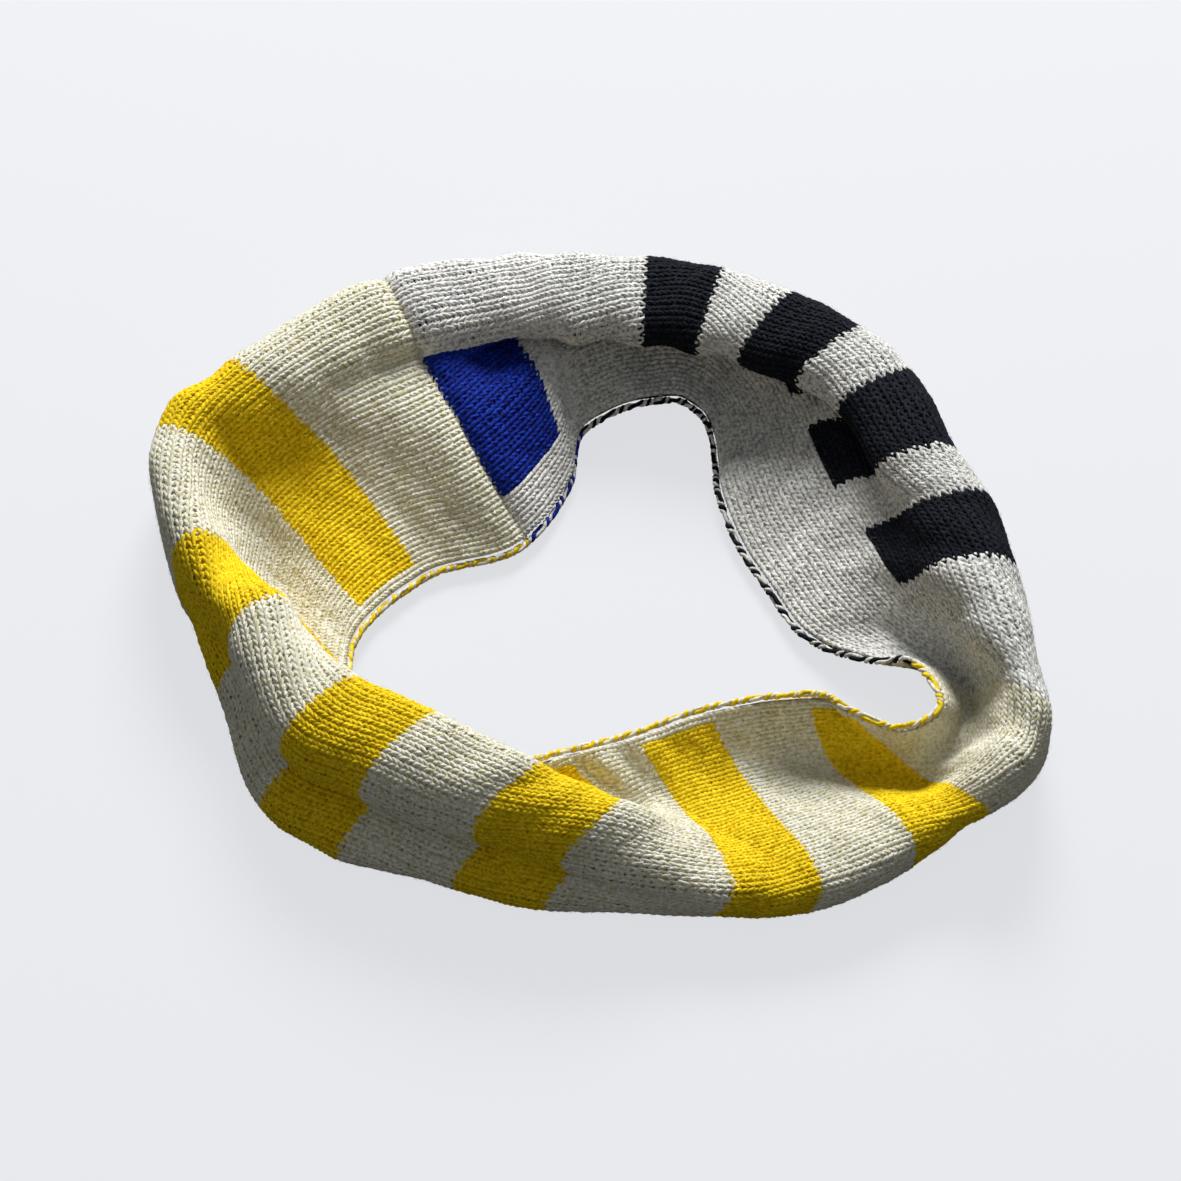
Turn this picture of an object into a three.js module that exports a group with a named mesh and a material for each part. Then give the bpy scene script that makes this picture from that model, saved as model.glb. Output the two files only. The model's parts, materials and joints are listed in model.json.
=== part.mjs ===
// A knitted wool neck gaiter: one long two-layer strip, joined into a loop by one seam, laid down as a loose ring.
// Millimetres, +Z up. The strip stands like an arch: the outer wall rises from the ground to a rounded fold, and the
// inside slopes down to the inner rim. A station is a cross-section of the strip at one course of the knitting.
// The origin is under the middle of the ring, on the ground.

import * as THREE from 'three';

// ---------------------------------------------------------------- driving dimensions

const STRIP_WIDTH = 188;         // across the flat strip
const WALES = 42;                // columns of stitches across the strip, counted from the inner rim
const THICKNESS = 3.8;           // both layers together
const GAP = 1.1;                 // clearance between the two layers
const EDGE_GAP = { courses: 0.5, wales: 0.3 };   // clearance between neighbours in one layer
const HEM_HEIGHT = 1.85;         // middle of the fabric where the hem lies on the ground
const FOLD_FULLNESS = 18;        // how far the rounded fold reaches to either side of its top
const WALL_RISE = 11;            // how far the outer wall rises before it starts to lean
const HEM_TUCK = { least: 10, most: 42 };
const RIM_WALES = 1;             // width of each selvedge
const CURVE_REACH = { most: 0.53, even: 1 / 3, slope: 1 / 6 };   // how far a curve keeps its direction
const LENGTH_STEPS = 400;        // how finely a cross-section is measured
const SEAM_COURSES = 0.8;        // half width of the chain that links the two ends
const LONGEST_CELL = { courses: 6.5, wales: 3.5 };   // a longer stretch is divided evenly
const ROUNDING = 1e-9;

// Blocks of contrast colour, as the wales where they start and end.
const YELLOW_BLOCK = [2, 35];
const BLACK_BLOCK = [11, 35];
const BLUE_BLOCK = [5, 20];

// ---------------------------------------------------------------- stations

// Each row: name, courses to the next station, then four points: the foot of the outer wall, the top of the fold,
// the slope or trough on the inside, and the inner rim.
const STATIONS = [
  ['seam', 27, [-96, 157, 9], [-90, 136, 57], [-56, 74, 28], [-30, 37, 4]],
  ['yellow_1_start', 16, [-159, 112, 9], [-151, 93, 55], [-114, 69, 20], [-80, 25, 4]],
  ['yellow_1_end', 9, [-187, 72, 9], [-179, 64, 52], [-143, 51, 14], [-104, 2, 5]],
  ['left_end', 9, [-186, 39, 9], [-177, 37, 53], [-146, 33, 10], [-107, -8, 6]],
  ['yellow_2_start', 16, [-177, 6, 9], [-168, 8, 54], [-143, 13, 8], [-107, -18, 7]],
  ['yellow_2_end', 18, [-158, -42, 9], [-139, -30, 58], [-122, -28, 12], [-98, -39, 12]],
  ['yellow_3_start', 16, [-138, -97, 9], [-105, -71, 59], [-94, -62, 20], [-80, -56, 20]],
  ['yellow_3_end', 18, [-106, -120, 9], [-72, -89, 59], [-63, -82, 20], [-55, -68, 22]],
  ['yellow_4_start', 16, [-59, -134, 9], [-30, -112, 56], [-27, -99, 20], [-37, -86, 27]],
  ['yellow_4_end', 18, [-22, -144, 9], [2, -126, 47], [7, -104, 16], [-19, -85, 32]],
  ['yellow_5_start', 16, [46, -147, 9], [47, -124, 24], [32, -99, 12], [12, -72, 26]],
  ['yellow_5_end', 18, [85, -145, 9], [79, -120, 23], [60, -88, 11], [43, -59, 26]],
  ['yellow_6_start', 16, [125, -125, 9], [115, -106, 26], [97, -80, 9], [84, -60, 38]],
  ['yellow_6_end', 8, [152, -102, 9], [149, -108, 41], [134, -85, 9], [99, -66, 38]],
  ['lip', 8, [164, -96, 9], [161, -104, 46], [144, -75, 9], [118, -76, 36]],
  ['curl', 8, [177, -82, 9], [172, -90, 48], [152, -58, 9], [139, -64, 36]],
  ['black_yarn_start', 10, [181, -64, 9], [173, -69, 52], [155, -42, 9], [128, -40, 30]],
  ['right_end', 11, [179, -29, 9], [163, -39, 56], [140, -19, 10], [107, -29, 14]],
  ['black_4_start', 12, [175, 6, 9], [157, -7, 58], [121, 2, 16], [85, -12, 5]],
  ['black_4_end', 11, [166, 40, 9], [150, 26, 58], [114, 31, 18], [70, 13, 4]],
  ['black_3_start', 12, [153, 67, 9], [138, 49, 58], [105, 56, 18], [58, 36, 4]],
  ['black_3_end', 11, [134, 108, 9], [123, 89, 58], [93, 86, 20], [50, 61, 6]],
  ['black_2_start', 12, [115, 130, 9], [105, 110, 58], [80, 102, 17], [49, 76, 5]],
  ['black_2_end', 11, [85, 148, 9], [78, 128, 58], [61, 120, 22], [47, 92, 12]],
  ['black_1_start', 12, [55, 163, 9], [51, 140, 57], [43, 127, 24], [39, 102, 16]],
  ['black_1_end', 15, [21, 169, 9], [20, 147, 56], [19, 133, 24], [23, 103, 18]],
  ['blue_yarn_start', 11, [-20, 171, 9], [-19, 149, 56], [-14, 120, 26], [-8, 91, 9]],
  ['blue_block_start', 16, [-46, 170, 9], [-44, 148, 56], [-25, 105, 28], [-12, 69, 4]],
];

// ---------------------------------------------------------------- the surface of the strip

// A cubic curve that leaves `from` along `out` and arrives at `to` along `into`; both reaches are in mm.
function sweep(from, out, to, into) {
  const limit = from.distanceTo(to) * CURVE_REACH.most;
  const start = from.clone().add(out.clone().clampLength(0, limit));
  const end = to.clone().sub(into.clone().clampLength(0, limit));
  return new THREE.CubicBezierCurve3(from, start, end, to);
}

// The cross-section at a station, as evenly spaced points from the inner rim (wale 0) to the tucked-in hem.
function crossSection(footPoint, foldPoint, slopePoint, rimPoint) {
  const [foot, fold, slope, rim] = [footPoint, foldPoint, slopePoint, rimPoint].map(
    (p) => new THREE.Vector3(...p));
  const inward = slope.clone().sub(foot).setZ(0).normalize();
  const up = new THREE.Vector3(0, 0, WALL_RISE);
  const overFold = inward.clone().multiplyScalar(FOLD_FULLNESS);
  const alongSlope = rim.clone().sub(fold).multiplyScalar(CURVE_REACH.slope);
  const intoRim = rim.clone().sub(slope).multiplyScalar(CURVE_REACH.even);
  const lip = sweep(slope, alongSlope, rim, intoRim);
  const inside = sweep(fold, overFold, slope, alongSlope);
  const wall = sweep(foot, up, fold, overFold);
  const visible = lip.getLength() + inside.getLength() + wall.getLength();
  const tuck = THREE.MathUtils.clamp(STRIP_WIDTH - visible, HEM_TUCK.least, HEM_TUCK.most);
  const edge = foot.clone().addScaledVector(inward, tuck).setZ(HEM_HEIGHT);
  const hem = sweep(edge, inward.clone().multiplyScalar(-tuck * CURVE_REACH.even), foot, up);
  const path = new THREE.CurvePath();
  path.curves.push(hem, wall, inside, lip);
  path.arcLengthDivisions = LENGTH_STEPS;
  return path.getSpacedPoints(WALES).reverse();
}

const sections = STATIONS.map(([, , ...points]) => crossSection(...points));
const spans = STATIONS.map(([, courses]) => courses);
const startOf = {};
let counted = 0;
for (const [name, courses] of STATIONS) {
  startOf[name] = counted;
  counted += courses;
}
const COURSES = counted;

// The rate of change per course at a station, from the parabola through it and its two neighbours.
function slopeAt(station, wale) {
  const count = STATIONS.length;
  const before = (station + count - 1) % count;
  const here = sections[station][wale];
  const back = here.clone().sub(sections[before][wale]).divideScalar(spans[before]);
  const ahead = sections[(station + 1) % count][wale].clone().sub(here).divideScalar(spans[station]);
  const total = spans[before] + spans[station];
  return back.multiplyScalar(spans[station] / total).addScaledVector(ahead, spans[before] / total);
}

// The middle of the fabric on one whole wale, at any course.
function onWale(course, wale) {
  const wrapped = THREE.MathUtils.euclideanModulo(course, COURSES);
  let station = 0;
  let start = 0;
  while (wrapped >= start + spans[station]) {
    start += spans[station];
    station += 1;
  }
  const next = (station + 1) % STATIONS.length;
  const t = (wrapped - start) / spans[station];
  return new THREE.Vector3()
    .addScaledVector(sections[station][wale], 2 * t ** 3 - 3 * t ** 2 + 1)
    .addScaledVector(slopeAt(station, wale), (t ** 3 - 2 * t ** 2 + t) * spans[station])
    .addScaledVector(sections[next][wale], 3 * t ** 2 - 2 * t ** 3)
    .addScaledVector(slopeAt(next, wale), (t ** 3 - t ** 2) * spans[station]);
}

// The middle of the fabric at any course and wale.
function middle(course, wale) {
  const lower = Math.min(Math.floor(wale), WALES - 1);
  return onWale(course, lower).lerp(onWale(course, lower + 1), wale - lower);
}

// The direction out of the knitted face.
function faceNormal(course, wale) {
  const step = 1;
  const along = middle(course + step, wale).sub(middle(course - step, wale));
  const across = middle(course, Math.min(wale + step, WALES)).sub(middle(course, Math.max(wale - step, 0)));
  return across.cross(along).normalize();
}

// A point of a solid, at a height above (or below) the middle of the fabric. Nothing goes below the ground.
function fabricPoint(course, wale, height) {
  const point = middle(course, wale).addScaledVector(faceNormal(course, wale), height);
  point.z = Math.max(point.z, 0);
  return point;
}

// ---------------------------------------------------------------- the grid of cells

// Divides the stretch from one mark to the next into equal cells no longer than `longest`.
function stops(marks, longest) {
  const list = [];
  for (let i = 0; i < marks.length - 1; i += 1) {
    const count = Math.ceil((marks[i + 1] - marks[i]) / longest - ROUNDING);
    for (let k = 0; k < count; k += 1) {
      list.push(marks[i] + (marks[i + 1] - marks[i]) * (k / count));
    }
  }
  list.push(marks[marks.length - 1]);
  return list;
}

const courseMarks = [SEAM_COURSES, ...Object.values(startOf).filter((c) => c > 0), COURSES - SEAM_COURSES];
const courseStops = stops(courseMarks, LONGEST_CELL.courses);
const waleMarks = [RIM_WALES, YELLOW_BLOCK[0], BLUE_BLOCK[0], BLACK_BLOCK[0], BLUE_BLOCK[1],
  BLACK_BLOCK[1], WALES - RIM_WALES];
const waleStops = stops(waleMarks, LONGEST_CELL.wales);

// A closed solid over the cells that `holds(course, wale)` accepts, between two heights. Its edges are drawn in by
// half a gap, so that two solids that share an edge of the grid never touch.
function layerSolid(courses, wales, holds, low, high) {
  const inside = (i, j) => i >= 0 && j >= 0 && i < courses.length - 1 && j < wales.length - 1
    && holds((courses[i] + courses[i + 1]) / 2, (wales[j] + wales[j + 1]) / 2);
  const vertices = [];
  const indices = [];
  const numberOf = new Map();

  function vertex(i, j, top) {
    const key = `${i},${j},${top}`;
    if (!numberOf.has(key)) {
      let toCourse = 0;
      let toWale = 0;
      for (const [di, dj] of [[-1, -1], [-1, 0], [0, -1], [0, 0]]) {
        if (inside(i + di, j + dj)) {
          toCourse += di * 2 + 1;
          toWale += dj * 2 + 1;
        }
      }
      const course = courses[i] + Math.sign(toCourse) * EDGE_GAP.courses / 2;
      const wale = wales[j] + Math.sign(toWale) * EDGE_GAP.wales / 2;
      numberOf.set(key, vertices.length / 3);
      vertices.push(...fabricPoint(course, wale, top ? high : low).toArray());
    }
    return numberOf.get(key);
  }

  function quad(a, b, c, d) {
    indices.push(a, b, c, a, c, d);
  }

  for (let i = 0; i < courses.length - 1; i += 1) {
    for (let j = 0; j < wales.length - 1; j += 1) {
      if (!inside(i, j)) continue;
      const corners = [[i, j], [i, j + 1], [i + 1, j + 1], [i + 1, j]];
      const beyond = [[i - 1, j], [i, j + 1], [i + 1, j], [i, j - 1]];
      quad(...corners.map(([a, b]) => vertex(a, b, true)));
      quad(...[0, 3, 2, 1].map((k) => vertex(...corners[k], false)));
      beyond.forEach(([a, b], side) => {
        if (inside(a, b)) return;
        const from = corners[side];
        const to = corners[(side + 1) % 4];
        quad(vertex(...to, true), vertex(...from, true), vertex(...from, false), vertex(...to, false));
      });
    }
  }
  const geometry = new THREE.BufferGeometry();
  geometry.setAttribute('position', new THREE.Float32BufferAttribute(vertices, 3));
  geometry.setIndex(indices);
  geometry.computeVertexNormals();
  return geometry;
}

// ---------------------------------------------------------------- yarns and lengths

const WOOL_ROUGHNESS = 0.95;
const wool = (color) => new THREE.MeshStandardMaterial({ color, roughness: WOOL_ROUGHNESS, metalness: 0 });
const YARNS = {
  cream: wool(0xd9d5c6),
  yellow: wool(0xe3b70f),
  black: wool(0x14171f),
  blue: wool(0x0c2f9c),
  yellow_back: wool(0xcfc07a),
  black_back: wool(0x77797c),
  blue_back: wool(0x6f7fae),
};

// A length of the strip that is knitted with one contrast yarn behind the cream. The yellow length is split where
// the loop is folded in half.
const LENGTHS = [
  { name: 'yellow_far', yarn: 'yellow', from: SEAM_COURSES, to: startOf.left_end },
  { name: 'yellow_near', yarn: 'yellow', from: startOf.left_end, to: startOf.black_yarn_start },
  { name: 'black', yarn: 'black', from: startOf.black_yarn_start, to: startOf.blue_yarn_start },
  { name: 'blue', yarn: 'blue', from: startOf.blue_yarn_start, to: COURSES - SEAM_COURSES },
];

const BLOCKS = [
  ...[1, 2, 3, 4, 5, 6].map((n) => (
    { name: `yellow_block_${n}`, yarn: 'yellow', from: startOf[`yellow_${n}_start`],
      to: startOf[`yellow_${n}_end`], wales: YELLOW_BLOCK })),
  ...[1, 2, 3, 4].map((n) => (
    { name: `black_block_${n}`, yarn: 'black', from: startOf[`black_${n}_start`],
      to: startOf[`black_${n}_end`], wales: BLACK_BLOCK })),
  { name: 'blue_block', yarn: 'blue', from: startOf.blue_block_start, to: COURSES - SEAM_COURSES,
    wales: BLUE_BLOCK },
];

const between = (value, [from, to]) => value > from && value < to;
const inBlock = (block, course, wale) => between(course, [block.from, block.to]) && between(wale, block.wales);
const FACE = [GAP / 2, THICKNESS / 2];
const BACK = [-THICKNESS / 2, -GAP / 2];
const WHOLE = [-THICKNESS / 2, THICKNESS / 2];

const ring = new THREE.Group();

function addPiece(name, material, geometry) {
  const mesh = new THREE.Mesh(geometry, material);
  mesh.name = name;
  ring.add(mesh);
}

for (const { name, yarn, from, to } of LENGTHS) {
  const courses = courseStops.filter((course) => course >= from && course <= to);
  const inGround = (course, wale) => !BLOCKS.some((block) => inBlock(block, course, wale));
  addPiece(`${name}_ground_face`, YARNS.cream, layerSolid(courses, waleStops, inGround, ...FACE));
  addPiece(`${name}_back_layer`, YARNS[`${yarn}_back`], layerSolid(courses, waleStops, () => true, ...BACK));
  const innerRim = [0, RIM_WALES];
  const outerRim = [WALES - RIM_WALES, WALES];
  addPiece(`${name}_inner_selvedge`, YARNS[yarn], layerSolid(courses, innerRim, () => true, ...WHOLE));
  addPiece(`${name}_outer_selvedge`, YARNS[yarn], layerSolid(courses, outerRim, () => true, ...WHOLE));
}

for (const block of BLOCKS) {
  const courses = courseStops.filter((course) => course >= block.from && course <= block.to);
  const wales = waleStops.filter((wale) => wale >= block.wales[0] && wale <= block.wales[1]);
  addPiece(block.name, YARNS[block.yarn], layerSolid(courses, wales, () => true, ...FACE));
}

const chainCourses = [-SEAM_COURSES, SEAM_COURSES];
const chainWales = [0, ...waleStops, WALES];
addPiece('seam_linking_chain', YARNS.cream, layerSolid(chainCourses, chainWales, () => true, ...WHOLE));

// The origin goes under the middle of the ring.
const size = new THREE.Box3().setFromObject(ring);
const centre = size.getCenter(new THREE.Vector3());
ring.position.set(-centre.x, -centre.y, -size.min.z);

export default ring;
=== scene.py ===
"""A striped lambswool neck gaiter laid down as a loose ring, with each stitch as a real loop of yarn.

The knitted strip is one surface over courses (counted round the loop from the seam) and wales (counted across
the strip from the inner rim). Every yarn, edge, backing and fibre is placed on it by course, wale and height
above the middle of the fabric. The surface is worked out in millimetres and then fitted to the frame's box.
"""

import json
import math

import bpy
import numpy as np
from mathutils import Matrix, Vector

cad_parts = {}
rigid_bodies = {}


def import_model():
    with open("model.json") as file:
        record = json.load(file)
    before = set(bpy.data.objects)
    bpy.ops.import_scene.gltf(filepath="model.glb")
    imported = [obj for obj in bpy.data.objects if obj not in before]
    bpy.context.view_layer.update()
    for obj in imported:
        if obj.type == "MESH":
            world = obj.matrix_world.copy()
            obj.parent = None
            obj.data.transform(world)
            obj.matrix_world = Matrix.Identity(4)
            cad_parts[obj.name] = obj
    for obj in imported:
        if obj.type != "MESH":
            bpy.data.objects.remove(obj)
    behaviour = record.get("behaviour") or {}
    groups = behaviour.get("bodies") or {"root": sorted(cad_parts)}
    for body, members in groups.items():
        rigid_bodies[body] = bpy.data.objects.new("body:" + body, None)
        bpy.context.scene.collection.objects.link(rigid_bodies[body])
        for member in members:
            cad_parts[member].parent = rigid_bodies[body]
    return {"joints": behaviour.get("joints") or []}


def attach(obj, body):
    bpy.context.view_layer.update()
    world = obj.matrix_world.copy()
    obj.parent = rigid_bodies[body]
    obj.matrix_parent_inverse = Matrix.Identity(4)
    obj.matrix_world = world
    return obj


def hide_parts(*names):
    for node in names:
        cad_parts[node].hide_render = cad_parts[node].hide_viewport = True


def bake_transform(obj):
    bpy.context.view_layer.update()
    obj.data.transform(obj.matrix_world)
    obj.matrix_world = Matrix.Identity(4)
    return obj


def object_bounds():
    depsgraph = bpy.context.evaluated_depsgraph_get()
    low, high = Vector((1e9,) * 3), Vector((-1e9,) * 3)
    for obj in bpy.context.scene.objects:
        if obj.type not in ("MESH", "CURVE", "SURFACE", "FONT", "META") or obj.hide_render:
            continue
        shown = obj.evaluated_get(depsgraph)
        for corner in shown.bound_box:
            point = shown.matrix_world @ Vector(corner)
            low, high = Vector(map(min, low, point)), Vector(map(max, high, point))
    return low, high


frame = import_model()
CAD_LOW, CAD_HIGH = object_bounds()

# ------------------------------------------------------------------ driving dimensions, in mm unless said

STRIP_WIDTH = 188.0
WALES = 42
WALE_WIDTH = STRIP_WIDTH / WALES
THICKNESS = 3.8
HEM_HEIGHT = 1.85
FOLD_FULLNESS = 18.0
WALL_RISE = 11.0
HEM_TUCK = (10.0, 42.0)
LONGEST_REACH = 0.53          # of the straight distance
EVEN_REACH = 1 / 3
SLOPE_REACH = 1 / 6
CURVE_STEPS = 120
PER_WALE = 6                  # surface samples
PER_COURSE = 4
RIM_WALES = 1                 # each selvedge

YELLOW_BLOCK = (2, 35)        # wales
BLACK_BLOCK = (11, 35)
BLUE_BLOCK = (5, 20)

SEED = 7

# Each row: name, courses to the next station, then the foot of the outer wall, the top of the fold, the slope
# or trough on the inside, and the inner rim.
STATIONS = [
    ("seam", 27, (-96, 157, 9), (-90, 136, 57), (-56, 74, 28), (-30, 37, 4)),
    ("yellow_1_start", 16, (-159, 112, 9), (-151, 93, 55), (-114, 69, 20), (-80, 25, 4)),
    ("yellow_1_end", 9, (-187, 72, 9), (-179, 64, 52), (-143, 51, 14), (-104, 2, 5)),
    ("left_end", 9, (-186, 39, 9), (-177, 37, 53), (-146, 33, 10), (-107, -8, 6)),
    ("yellow_2_start", 16, (-177, 6, 9), (-168, 8, 54), (-143, 13, 8), (-107, -18, 7)),
    ("yellow_2_end", 18, (-158, -42, 9), (-139, -30, 58), (-122, -28, 12), (-98, -39, 12)),
    ("yellow_3_start", 16, (-138, -97, 9), (-105, -71, 59), (-94, -62, 20), (-80, -56, 20)),
    ("yellow_3_end", 18, (-106, -120, 9), (-72, -89, 59), (-63, -82, 20), (-55, -68, 22)),
    ("yellow_4_start", 16, (-59, -134, 9), (-30, -112, 56), (-27, -99, 20), (-37, -86, 27)),
    ("yellow_4_end", 18, (-22, -144, 9), (2, -126, 47), (7, -104, 16), (-19, -85, 32)),
    ("yellow_5_start", 16, (46, -147, 9), (47, -124, 24), (32, -99, 12), (12, -72, 26)),
    ("yellow_5_end", 18, (85, -145, 9), (79, -120, 23), (60, -88, 11), (43, -59, 26)),
    ("yellow_6_start", 16, (125, -125, 9), (115, -106, 26), (97, -80, 9), (84, -60, 38)),
    ("yellow_6_end", 8, (152, -102, 9), (149, -108, 41), (134, -85, 9), (99, -66, 38)),
    ("lip", 8, (164, -96, 9), (161, -104, 46), (144, -75, 9), (118, -76, 36)),
    ("curl", 8, (177, -82, 9), (172, -90, 48), (152, -58, 9), (139, -64, 36)),
    ("black_yarn_start", 10, (181, -64, 9), (173, -69, 52), (155, -42, 9), (128, -40, 30)),
    ("right_end", 11, (179, -29, 9), (163, -39, 56), (140, -19, 10), (107, -29, 14)),
    ("black_4_start", 12, (175, 6, 9), (157, -7, 58), (121, 2, 16), (85, -12, 5)),
    ("black_4_end", 11, (166, 40, 9), (150, 26, 58), (114, 31, 18), (70, 13, 4)),
    ("black_3_start", 12, (153, 67, 9), (138, 49, 58), (105, 56, 18), (58, 36, 4)),
    ("black_3_end", 11, (134, 108, 9), (123, 89, 58), (93, 86, 20), (50, 61, 6)),
    ("black_2_start", 12, (115, 130, 9), (105, 110, 58), (80, 102, 17), (49, 76, 5)),
    ("black_2_end", 11, (85, 148, 9), (78, 128, 58), (61, 120, 22), (47, 92, 12)),
    ("black_1_start", 12, (55, 163, 9), (51, 140, 57), (43, 127, 24), (39, 102, 16)),
    ("black_1_end", 15, (21, 169, 9), (20, 147, 56), (19, 133, 24), (23, 103, 18)),
    ("blue_yarn_start", 11, (-20, 171, 9), (-19, 149, 56), (-14, 120, 26), (-8, 91, 9)),
    ("blue_block_start", 16, (-46, 170, 9), (-44, 148, 56), (-25, 105, 28), (-12, 69, 4)),
]
SPANS = np.array([row[1] for row in STATIONS])
STARTS = np.concatenate([[0], np.cumsum(SPANS)])
COURSES = int(STARTS[-1])
START_OF = {row[0]: int(start) for row, start in zip(STATIONS, STARTS)}

# Round the far side the fold is a roll that overhangs the inside. Each row: how much of a roll it is at a
# station, and how many mm further in the pleat under it goes.
INNER_ROLLS = {
    "seam": (0.3, 0), "blue_block_start": (0.75, 0), "blue_yarn_start": (1.0, 3),
    "black_1_end": (1.0, 8), "black_1_start": (1.0, 8), "black_2_end": (1.0, 6), "black_2_start": (0.7, 0),
    "black_3_end": (0.5, 0), "black_3_start": (0.3, 0), "black_4_end": (0.15, 0), "black_4_start": (0.1, 0),
}
INNER_ROLL = {"reach": 34, "bulge": 22, "tuck": 14, "drop": 22, "turn": 5.5}

# Along the near left it is a broad roll above a crease in the wall, as how much of it there is at a station.
OUTER_ROLLS = {
    "yellow_2_start": 0.3, "yellow_2_end": 0.8, "yellow_3_start": 1.0, "yellow_3_end": 1.0,
    "yellow_4_start": 1.0, "yellow_4_end": 0.9,
}
OUTER_ROLL = {"crease": (0.5, 0.62), "bulge": 0.25, "reach": 0.92}     # of the wall's width and height
CREASED_WALL = {"rise": 0.2, "lean": 0.3}     # how the wall leaves the foot and meets the crease

# Along the near right the fold is tight and stands over the foot, which hides the wall. Each row: how many mm
# out and up the top of the fold goes.
TIGHT_FOLDS = {
    "yellow_5_start": (20, 2), "yellow_5_end": (21, 2),
    "yellow_6_start": (17, 1), "yellow_6_end": (5, -6),
    "lip": (0, 0), "curl": (0, 0),
}
TIGHT_REACH = 9

# At the left end the fold is sharp, as a share of the usual fullness, and the rim slips along under the roll.
SHARP_FOLDS = {"yellow_1_end": 0.6, "left_end": 0.35, "yellow_2_start": 0.45}
RIM_SLIPS = {
    "yellow_1_start": (6, -7, 0), "yellow_1_end": (7, -7, 0), "left_end": (4, -10, 0),
    "yellow_2_start": (3, -14, 0), "yellow_2_end": (0, -6, 0),
}

# The inside slopes are a little fuller than a plain fold.
SLOPE_RISES = {
    "seam": 3, "yellow_1_start": 6, "yellow_1_end": 5,
    "black_4_start": 5, "black_4_end": 6, "black_3_start": 6, "black_3_end": 6, "black_2_start": 5,
}

# ------------------------------------------------------------------ the surface of the strip


def clamped(vector, most):
    """The vector, made shorter if it is longer than most."""
    length = np.linalg.norm(vector)
    return vector if length <= most else vector * (most / length)


def sweep(start, out, end, into):
    """Points on a cubic curve that leaves start along out and arrives at end along into."""
    most = LONGEST_REACH * np.linalg.norm(end - start)
    first = start + clamped(out, most)
    second = end - clamped(into, most)
    t = np.linspace(0, 1, CURVE_STEPS)[:, None]
    return (1 - t) ** 3 * start + 3 * (1 - t) ** 2 * t * first + 3 * (1 - t) * t**2 * second + t**3 * end


def curve(*corners):
    """Points on the cubic curve with these four corner points."""
    start, first, second, end = corners
    t = np.linspace(0, 1, CURVE_STEPS)[:, None]
    return (1 - t) ** 3 * start + 3 * (1 - t) ** 2 * t * first + 3 * (1 - t) * t**2 * second + t**3 * end


def length_of(points):
    """How long the line through the points is."""
    return np.linalg.norm(np.diff(points, axis=0), axis=1).sum()


def evenly(points, count):
    """The same line with its points at equal distances."""
    along = np.concatenate([[0], np.cumsum(np.linalg.norm(np.diff(points, axis=0), axis=1))])
    even = np.linspace(0, along[-1], count)
    return np.stack([np.interp(even, along, points[:, axis]) for axis in range(3)], axis=1)


def mixed(plain, other, share):
    """A curve part of the way from one to another, matched by length along them."""
    return evenly(plain, 2 * CURVE_STEPS) * (1 - share) + evenly(other, 2 * CURVE_STEPS) * share


def inner_roll(fold, inward, slope, along_slope, pleat):
    """From the fold over a roll that overhangs the inside, in under it, and out again down the slope."""
    up = np.array((0, 0, 1.0))
    under = fold + inward * (INNER_ROLL["tuck"] - pleat) - up * INNER_ROLL["drop"]
    bulge = under + inward * (INNER_ROLL["bulge"] + pleat)
    over = curve(fold, fold + inward * INNER_ROLL["reach"], bulge, under)
    back = -inward * INNER_ROLL["turn"]
    turned = under - up * INNER_ROLL["turn"]
    turn = curve(under, under + back, turned + back, turned)
    out = sweep(turned, inward * INNER_ROLL["tuck"], slope, along_slope)
    return np.concatenate([over, turn[1:], out[1:]])


def outer_roll(foot, fold):
    """From the foot up the wall to a crease, and over a broad roll to the fold."""
    out = (foot - fold) * (1, 1, 0)
    drop = np.array((0, 0, foot[2] - fold[2]))
    crease = fold + out * OUTER_ROLL["crease"][0] + drop * OUTER_ROLL["crease"][1]
    rising = foot - drop * CREASED_WALL["rise"]
    leaning = crease + (foot - crease) * CREASED_WALL["lean"]
    wall = curve(foot, rising, leaning, crease)
    bulge = crease + out * OUTER_ROLL["bulge"]
    roll = curve(crease, bulge, fold + out * OUTER_ROLL["reach"], fold)
    return np.concatenate([wall, roll[1:]])


def cross_section(name, foot, fold, slope, rim):
    """Evenly spaced points across the strip, from the inner rim to the tucked-in hem."""
    inward = (slope - foot) * (1, 1, 0)
    inward /= np.linalg.norm(inward)
    up = np.array((0, 0, WALL_RISE))
    outward, upward = TIGHT_FOLDS.get(name, (0, 0))
    fold = fold - inward * outward + (0, 0, upward)
    slope = slope + (0, 0, SLOPE_RISES.get(name, 0))
    rim = rim + RIM_SLIPS.get(name, (0, 0, 0))
    over_fold = inward * FOLD_FULLNESS
    along_slope = (rim - fold) * SLOPE_REACH
    into_rim = (rim - slope) * EVEN_REACH
    lip = sweep(slope, along_slope, rim, into_rim)
    inside = sweep(fold, over_fold * SHARP_FOLDS.get(name, 1), slope, along_slope)
    if name in INNER_ROLLS:
        share, pleat = INNER_ROLLS[name]
        inside = mixed(inside, inner_roll(fold, inward, slope, along_slope, pleat), share)
    wall = sweep(foot, up, fold, over_fold)
    if name in OUTER_ROLLS:
        wall = mixed(wall, outer_roll(foot, fold), OUTER_ROLLS[name])
    elif name in TIGHT_FOLDS:
        beyond = -inward * TIGHT_REACH
        wall = curve(foot, foot + up + beyond / 2, fold + beyond, fold)
    visible = length_of(lip) + length_of(inside) + length_of(wall)
    tuck = np.clip(STRIP_WIDTH - visible, *HEM_TUCK)
    edge = foot + inward * tuck
    edge[2] = HEM_HEIGHT
    hem = sweep(edge, -inward * tuck * EVEN_REACH, foot, up)
    path = np.concatenate([hem, wall[1:], inside[1:], lip[1:]])[::-1]
    return evenly(path, WALES * PER_WALE + 1)


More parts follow.
